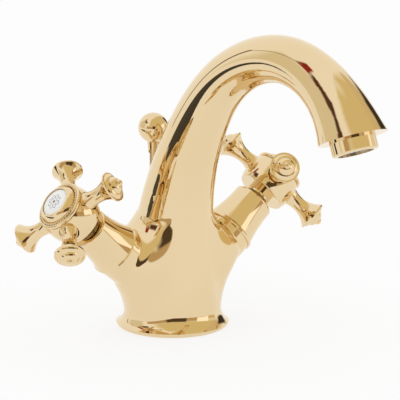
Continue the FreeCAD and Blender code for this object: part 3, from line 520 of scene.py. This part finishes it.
# %% Slide it onto the blended skin
WELD = 1e-7
WALKS = 0.002 * MM
WALK_STEPS = 8
FLATTEST = 0.05
FULL_NORMAL = 0.12 * MM
places = np.round(corners.reshape(-1, 3) / WELD).astype(np.int64)
kept, corner_vertex = np.unique(places, axis=0, return_index=True, return_inverse=True)[1:]
corner_vertex = corner_vertex.ravel()
points = corners.reshape(-1, 3)[kept]
swell = swelling(points)
free = swell > WALKS
sliding = points[free]
for step in range(WALK_STEPS):
    slope = outward(sliding)
    steepness = np.maximum((slope ** 2).sum(axis=1), FLATTEST)
    sliding = sliding - (casting_gap(sliding)[0] / steepness)[:, None] * slope
print("largest move in mm:", round(np.linalg.norm(sliding - points[free], axis=1).max() / MM, 2))
points[free] = sliding
directions = np.zeros_like(points)
directions[free] = unit(outward(sliding))
share = eased(swell, 0.0, FULL_NORMAL)[corner_vertex][:, None]
smooth = unit(normals.reshape(-1, 3) * (1.0 - share) + directions[corner_vertex] * share).reshape(-1, 3, 3)
faces = corner_vertex.reshape(-1, 3)
whole = (faces[:, 0] != faces[:, 1]) & (faces[:, 1] != faces[:, 2]) & (faces[:, 2] != faces[:, 0])
casting = bpy.data.meshes.new("blended_casting")
casting.from_pydata(points.tolist(), [], faces[whole].tolist())
casting.polygons.foreach_set("use_smooth", [True] * len(casting.polygons))
casting.normals_split_custom_set(smooth[whole].reshape(-1, 3).tolist())
add_piece("blended_casting", casting, "gold_plate", "body", "mixer_body")

# %% [markdown]
# The index disc is a turned shape: a short cylinder with a rounded edge and a low dome. A stock cylinder
# with a bevel comes near it, but a lathe in a few lines gives the dome and the map for the print as well: a
# profile of points is carried round the axis, and the poles are closed.

# %% A small lathe
FULL_TURN = 2.0 * math.pi


def turned_mesh(name, profile, place, steps=96):
    """Carries (radius, height) points round the upright axis; both ends lie on the axis."""
    angles = np.linspace(0.0, FULL_TURN, steps, endpoint=False)
    points = [(0.0, 0.0, profile[0][1])]
    for radius, height in profile[1:-1]:
        points += [(radius * math.cos(angle), radius * math.sin(angle), height) for angle in angles]
    points.append((0.0, 0.0, profile[-1][1]))
    rings = len(profile) - 2
    faces = []
    for step in range(steps):
        after = (step + 1) % steps
        faces.append((0, 1 + after, 1 + step))
        for ring in range(rings - 1):
            low = 1 + ring * steps
            high = low + steps
            faces.append((low + step, low + after, high + after, high + step))
        top = 1 + (rings - 1) * steps
        faces.append((top + step, top + after, len(points) - 1))
    mesh = bpy.data.meshes.new(name)
    mesh.from_pydata(points, [], faces)
    face_map = mesh.uv_layers.new(name="face")
    widest = max(radius for radius, height in profile)
    for loop in mesh.loops:
        x, y = points[loop.vertex_index][:2]
        face_map.data[loop.index].uv = (0.5 + 0.5 * x / widest, 0.5 + 0.5 * y / widest)
    mesh.polygons.foreach_set("use_smooth", [True] * len(mesh.polygons))
    mesh.transform(place)
    mesh.update()
    return mesh


print("lathe ready")

# %% Index discs
DISC_RADIUS = 7.15 * MM
DISC_SEAT = 8.6 * MM
DISC_EDGE = 9.9 * MM
DOME_RADIUS = 36.0 * MM
EDGE_ROUND = 0.35 * MM
EDGE_STEPS = 6
EDGE_STEP_DEGREES = 15.0
DOME_STEPS = 9
dome_rise = DOME_RADIUS - math.sqrt(DOME_RADIUS ** 2 - DISC_RADIUS ** 2)
disc_profile = [(0.0, DISC_SEAT), (DISC_RADIUS - EDGE_ROUND, DISC_SEAT),
                (DISC_RADIUS, DISC_SEAT + EDGE_ROUND)]
for step in range(EDGE_STEPS):
    lean = math.radians(step * EDGE_STEP_DEGREES)
    disc_profile.append((DISC_RADIUS - EDGE_ROUND * (1 - math.cos(lean)),
                         DISC_EDGE - EDGE_ROUND * (1 - math.sin(lean))))
for step in range(DOME_STEPS):
    dome_place = (DISC_RADIUS - EDGE_ROUND) * (1 - step / DOME_STEPS)
    dome_height = DISC_EDGE + dome_rise - DOME_RADIUS + math.sqrt(DOME_RADIUS ** 2 - dome_place ** 2)
    disc_profile.append((dome_place, dome_height))
disc_profile.append((0.0, DISC_EDGE + dome_rise))
for side in ("hot", "cold"):
    mesh = turned_mesh(side + "_glazed_disc", disc_profile, handle_frames[side])
    add_piece(side + "_glazed_disc", mesh, "porcelain", side + "_handle", side + "_index_disc")

# %% [markdown]
# Round each bezel lies a ring of twisted wire. It could be modelled strand by strand, but a rule is enough:
# points on a circle are pushed sideways by a sine and a cosine of their place along it, and a small round
# profile follows them. Geometry Nodes do this with the sizes as named inputs.


# %% A tree of Geometry Nodes
class Tree(Sheet):
    """A Geometry Nodes tree with named inputs."""

    def __init__(self, name, sizes):
        super().__init__(bpy.data.node_groups.new(name, "GeometryNodeTree"))
        self.tree.interface.new_socket("Geometry", in_out="OUTPUT", socket_type="NodeSocketGeometry")
        self.names = {}
        for size, (kind, value) in sizes.items():
            socket = self.tree.interface.new_socket(size, in_out="INPUT", socket_type=kind)
            socket.default_value = value
            self.names[size] = socket.identifier

    def size(self, name):
        """One of the tree's named inputs."""
        return self.add("NodeGroupInput", output=name)

    def finish(self, geometry, material):
        """Ends the tree in real, smooth geometry that has its material."""
        real = self.add("GeometryNodeRealizeInstances", {}, {"Geometry": geometry})
        smooth = self.add("GeometryNodeSetShadeSmooth", {}, {"Geometry": real})
        dressed = self.add("GeometryNodeSetMaterial", {}, {"Geometry": smooth, "Material": material})
        self.add("NodeGroupOutput", {}, {"Geometry": dressed})

    def mesh(self, name, place, sizes):
        """A plain mesh made by the tree with some of its sizes set, laid in its place."""
        holder = bpy.data.objects.new(name, bpy.data.meshes.new(name + "_start"))
        scene.collection.objects.link(holder)
        modifier = holder.modifiers.new("rule", "NODES")
        modifier.node_group = self.tree
        for size, value in sizes.items():
            modifier[self.names[size]] = value
        graph = bpy.context.evaluated_depsgraph_get()
        mesh = bpy.data.meshes.new_from_object(holder.evaluated_get(graph))
        bpy.data.objects.remove(holder)
        mesh.name = name
        mesh.transform(place)
        mesh.update()
        return mesh


print("trees ready")

# %% A rule for twisted wire
WIRE_SIDES = 8
rope = Tree("twisted_wire_ring", {
    "Ring Radius": ("NodeSocketFloat", 10.6 * MM),
    "Lay Radius": ("NodeSocketFloat", 0.30 * MM),
    "Wire Radius": ("NodeSocketFloat", 0.35 * MM),
    "Turns": ("NodeSocketInt", 22),
    "Steps": ("NodeSocketInt", 528),
    "Phase": ("NodeSocketFloat", 0.0),
})
circle = rope.add("GeometryNodeCurvePrimitiveCircle", {}, {"Resolution": rope.size("Steps"),
                                                           "Radius": rope.size("Ring Radius")})
around = rope.add("GeometryNodeInputIndex") / rope.size("Steps") * FULL_TURN
lay = around * rope.size("Turns") + rope.size("Phase")
reach = rope.size("Ring Radius") + rope.size("Lay Radius") * lay.cosine()
spot = rope.add("ShaderNodeCombineXYZ", {}, {"X": reach * around.cosine(), "Y": reach * around.sine(),
                                             "Z": rope.size("Lay Radius") * lay.sine()})
laid = rope.add("GeometryNodeSetPosition", {}, {"Geometry": circle, "Position": spot})
profile = rope.add("GeometryNodeCurvePrimitiveCircle", {}, {"Resolution": WIRE_SIDES,
                                                            "Radius": rope.size("Wire Radius")})
wire = rope.add("GeometryNodeCurveToMesh", {}, {"Curve": laid, "Profile Curve": profile})
rope.finish(wire, gold)
print("rope tree inputs:", list(rope.names))

# %% [markdown]
# Two strands lie half a turn apart in the same ring, so that each fills the other's hollows.

# %% Lay two strands round each bezel
ROPE_HEIGHT = 7.25 * MM
STRANDS = 2


def joined_mesh(name, meshes):
    """One mesh from several that share a material."""
    points, faces = [], []
    for mesh in meshes:
        first = len(points)
        points += [vertex.co.copy() for vertex in mesh.vertices]
        faces += [[first + corner for corner in face.vertices] for face in mesh.polygons]
    joined = bpy.data.meshes.new(name)
    joined.from_pydata(points, [], faces)
    joined.materials.append(meshes[0].materials[0])
    joined.polygons.foreach_set("use_smooth", [True] * len(faces))
    joined.update()
    return joined


for side in ("hot", "cold"):
    seat = handle_frames[side] @ Matrix.Translation((0.0, 0.0, ROPE_HEIGHT))
    strands = []
    for strand in range(STRANDS):
        strands.append(rope.mesh(f"{side}_strand_{strand}", seat, {"Phase": strand * FULL_TURN / STRANDS}))
    ring = joined_mesh(side + "_twisted_ring", strands)
    add_piece(side + "_twisted_ring", ring, "gold_plate", side + "_handle", side + "_rope_ring")

# %% [markdown]
# The portrait is taken from the hot side, looking a little down, through a long lens that keeps near and
# far parts at almost the same scale.

# %% Camera
VIEW_TURN = math.radians(-36.5)
VIEW_HEIGHT = math.radians(12.95)
VIEW_DISTANCE = 1.5
LENS = 281.43
SENSOR = 36.0
FARTHEST = 20.0
MIDDLE = Vector((0.0, 0.0, 0.075))
SLIDE_RIGHT = 0.0133
SLIDE_DOWN = 0.01285
back = Vector((math.sin(VIEW_TURN) * math.cos(VIEW_HEIGHT), -math.cos(VIEW_TURN) * math.cos(VIEW_HEIGHT),
               math.sin(VIEW_HEIGHT)))
right = Vector((math.cos(VIEW_TURN), math.sin(VIEW_TURN), 0.0))
up = back.cross(right)
target = MIDDLE + right * SLIDE_RIGHT - up * SLIDE_DOWN
lens = bpy.data.cameras.new("portrait_camera")
lens.lens = LENS
lens.sensor_width = SENSOR
lens.clip_end = FARTHEST
camera = bpy.data.objects.new("portrait_camera", lens)
looking = Matrix((right, up, back)).transposed().to_4x4()
camera.matrix_world = Matrix.Translation(target + back * VIEW_DISTANCE) @ looking
scene.collection.objects.link(camera)
scene.camera = camera
scene.view_settings.view_transform = "Standard"
print("camera stands at", [round(part, 3) for part in camera.location])

# %% [markdown]
# Polished metal shows what stands round it, tinted by its own colour. So the studio itself is the light, and
# there are no lamps. A white tent is painted on the world as a list of soft-edged panels, each with its
# direction, size and colour. Only mirror reflections see them: the camera sees plain white there, and the
# light on the floor comes from an even fill.

# %% A tent painted on the world
# In degrees, but for slope and colour: turn from the spout's direction, rise, half width, half height,
# slope, softness, colour. A later panel hides an earlier one.
PANELS = [
    (15.0, 50.0, 85.0, 34.0, 0.0, 16.0, (0.76, 0.65, 0.38)),
    (-126.0, 14.0, 21.0, 21.0, 0.0, 8.0, (0.79, 0.74, 0.59)),
    (-20.0, 8.0, 70.0, 9.0, 0.0, 5.0, (0.55, 0.40, 0.22)),
    (-22.0, 10.0, 20.0, 11.0, 0.0, 5.0, (0.09, 0.06, 0.035)),
    (43.0, 12.0, 17.0, 10.0, 0.0, 3.0, (1.25, 1.25, 1.25)),
    (72.0, 5.0, 12.0, 6.0, 0.0, 4.0, (0.75, 0.58, 0.30)),
    (93.0, 36.0, 16.0, 17.0, 0.0, 6.0, (0.72, 0.60, 0.38)),
    (107.0, 13.0, 12.0, 12.0, -0.5, 6.0, (0.05, 0.04, 0.03)),
    (-108.0, 39.0, 13.0, 6.0, 0.0, 4.0, (0.11, 0.05, 0.025)),
    (-128.0, 46.0, 6.0, 9.0, 0.0, 3.0, (0.30, 0.03, 0.02)),
    (-157.0, 8.0, 1.5, 11.0, 0.0, 1.5, (0.16, 0.11, 0.06)),
    (-142.0, 30.0, 12.0, 1.1, 1.05, 1.4, (0.30, 0.20, 0.10)),
]
WHITE = (1.0, 1.0, 1.0)
FILL = (0.96, 0.96, 0.96)
TO_DEGREES = 360.0 / FULL_TURN
world = bpy.data.worlds.new("white_tent")
world.use_nodes = True
scene.world = world
sheet = Sheet(world.node_tree)
x, y, z = sheet.parts(sheet.add("ShaderNodeTexCoord", output="Generated"))
turn = x.math("ARCTAN2", x, -1.0 * y) * TO_DEGREES
rise = x.math("ARCSINE", z) * TO_DEGREES
tent = WHITE
for panel_turn, panel_rise, half_width, half_height, slope, soft, colour in PANELS:
    sideways = turn - panel_turn
    upward = rise - panel_rise - sideways * slope
    inside = band(sideways, 0.0, half_width, soft) * band(upward, 0.0, half_height, soft)
    tent = sheet.mix(inside, tent, colour)
light = sheet.mix(sheet.add("ShaderNodeLightPath", output="Is Glossy Ray"), FILL, tent)
light = sheet.mix(sheet.add("ShaderNodeLightPath", output="Is Camera Ray"), light, WHITE)
glow = sheet.add("ShaderNodeBackground", {}, {"Color": light, "Strength": 1.0})
sheet.add("ShaderNodeOutputWorld", {}, {"Surface": glow})
print("tent panels:", len(PANELS))

# %% [markdown]
# The floor is white paper. Part of its light is its own, so that it reads as white in the picture and in
# the metal, and the rest is lit like any paper, which keeps a soft shadow under the foot.


# %% Paper floor
def flat_card(name, corners, material):
    """A flat sheet that belongs to the studio, not to the mixer."""
    mesh = bpy.data.meshes.new(name)
    mesh.from_pydata(corners, [], [tuple(range(len(corners)))])
    mesh.materials.append(material)
    card = bpy.data.objects.new(name, mesh)
    scene.collection.objects.link(card)
    return card


PAPER_LIGHT = (0.95, 0.95, 0.95)
PAPER_DARK = (0.93, 0.93, 0.92)
PAPER_SCALE = 500.0
OWN_LIGHT = 0.80
FLOOR_HALF = 2.0
paper, sheet, place = new_finish("white_paper")
fibre = noise(sheet, place, PAPER_SCALE)
lit = sheet.add("ShaderNodeBsdfDiffuse", {}, {"Color": sheet.mix(fibre, PAPER_LIGHT, PAPER_DARK)})
own = sheet.add("ShaderNodeEmission", {}, {"Color": WHITE, "Strength": 1.0})
direct = sum(sheet.add("ShaderNodeLightPath", output=ray)
             for ray in ("Is Camera Ray", "Is Glossy Ray", "Is Transmission Ray"))
surface = sheet.add("ShaderNodeMixShader", {}, {0: direct.clamped() * OWN_LIGHT, 1: lit, 2: own})
sheet.add("ShaderNodeOutputMaterial", {}, {"Surface": surface})
floor = flat_card("floor", [(-FLOOR_HALF, -FLOOR_HALF, 0.0), (FLOOR_HALF, -FLOOR_HALF, 0.0),
                            (FLOOR_HALF, FLOOR_HALF, 0.0), (-FLOOR_HALF, FLOOR_HALF, 0.0)], paper)
print(floor.name, "is", 2.0 * FLOOR_HALF, "m wide")

# %% [markdown]
# One dark card lies on the floor behind the hot side. Only the metal sees it, as a dark reflection that
# tells the eye how round the casting is.

# %% Low dark card
CARD_LIFT = 0.4 * MM
CARD_OUTLINE = [(-0.30, 0.0), (-0.20, 0.02), (-0.26, 0.20), (-0.30, 0.38), (-0.50, 0.46), (-0.42, 0.14)]
FELT_DARK = (0.02, 0.018, 0.015)
FELT_LIGHT = (0.05, 0.04, 0.03)
FELT_SCALE = 300.0
felt, sheet, place = new_finish("black_felt")
pile = noise(sheet, place, FELT_SCALE)
shade(sheet, Base_Color=sheet.mix(pile, FELT_DARK, FELT_LIGHT), Roughness=0.9)
low_card = flat_card("low_dark_card", [(x, y, CARD_LIFT) for x, y in CARD_OUTLINE], felt)
low_card.visible_camera = False
low_card.visible_shadow = False
low_card.visible_diffuse = False
print("card:", low_card.name)
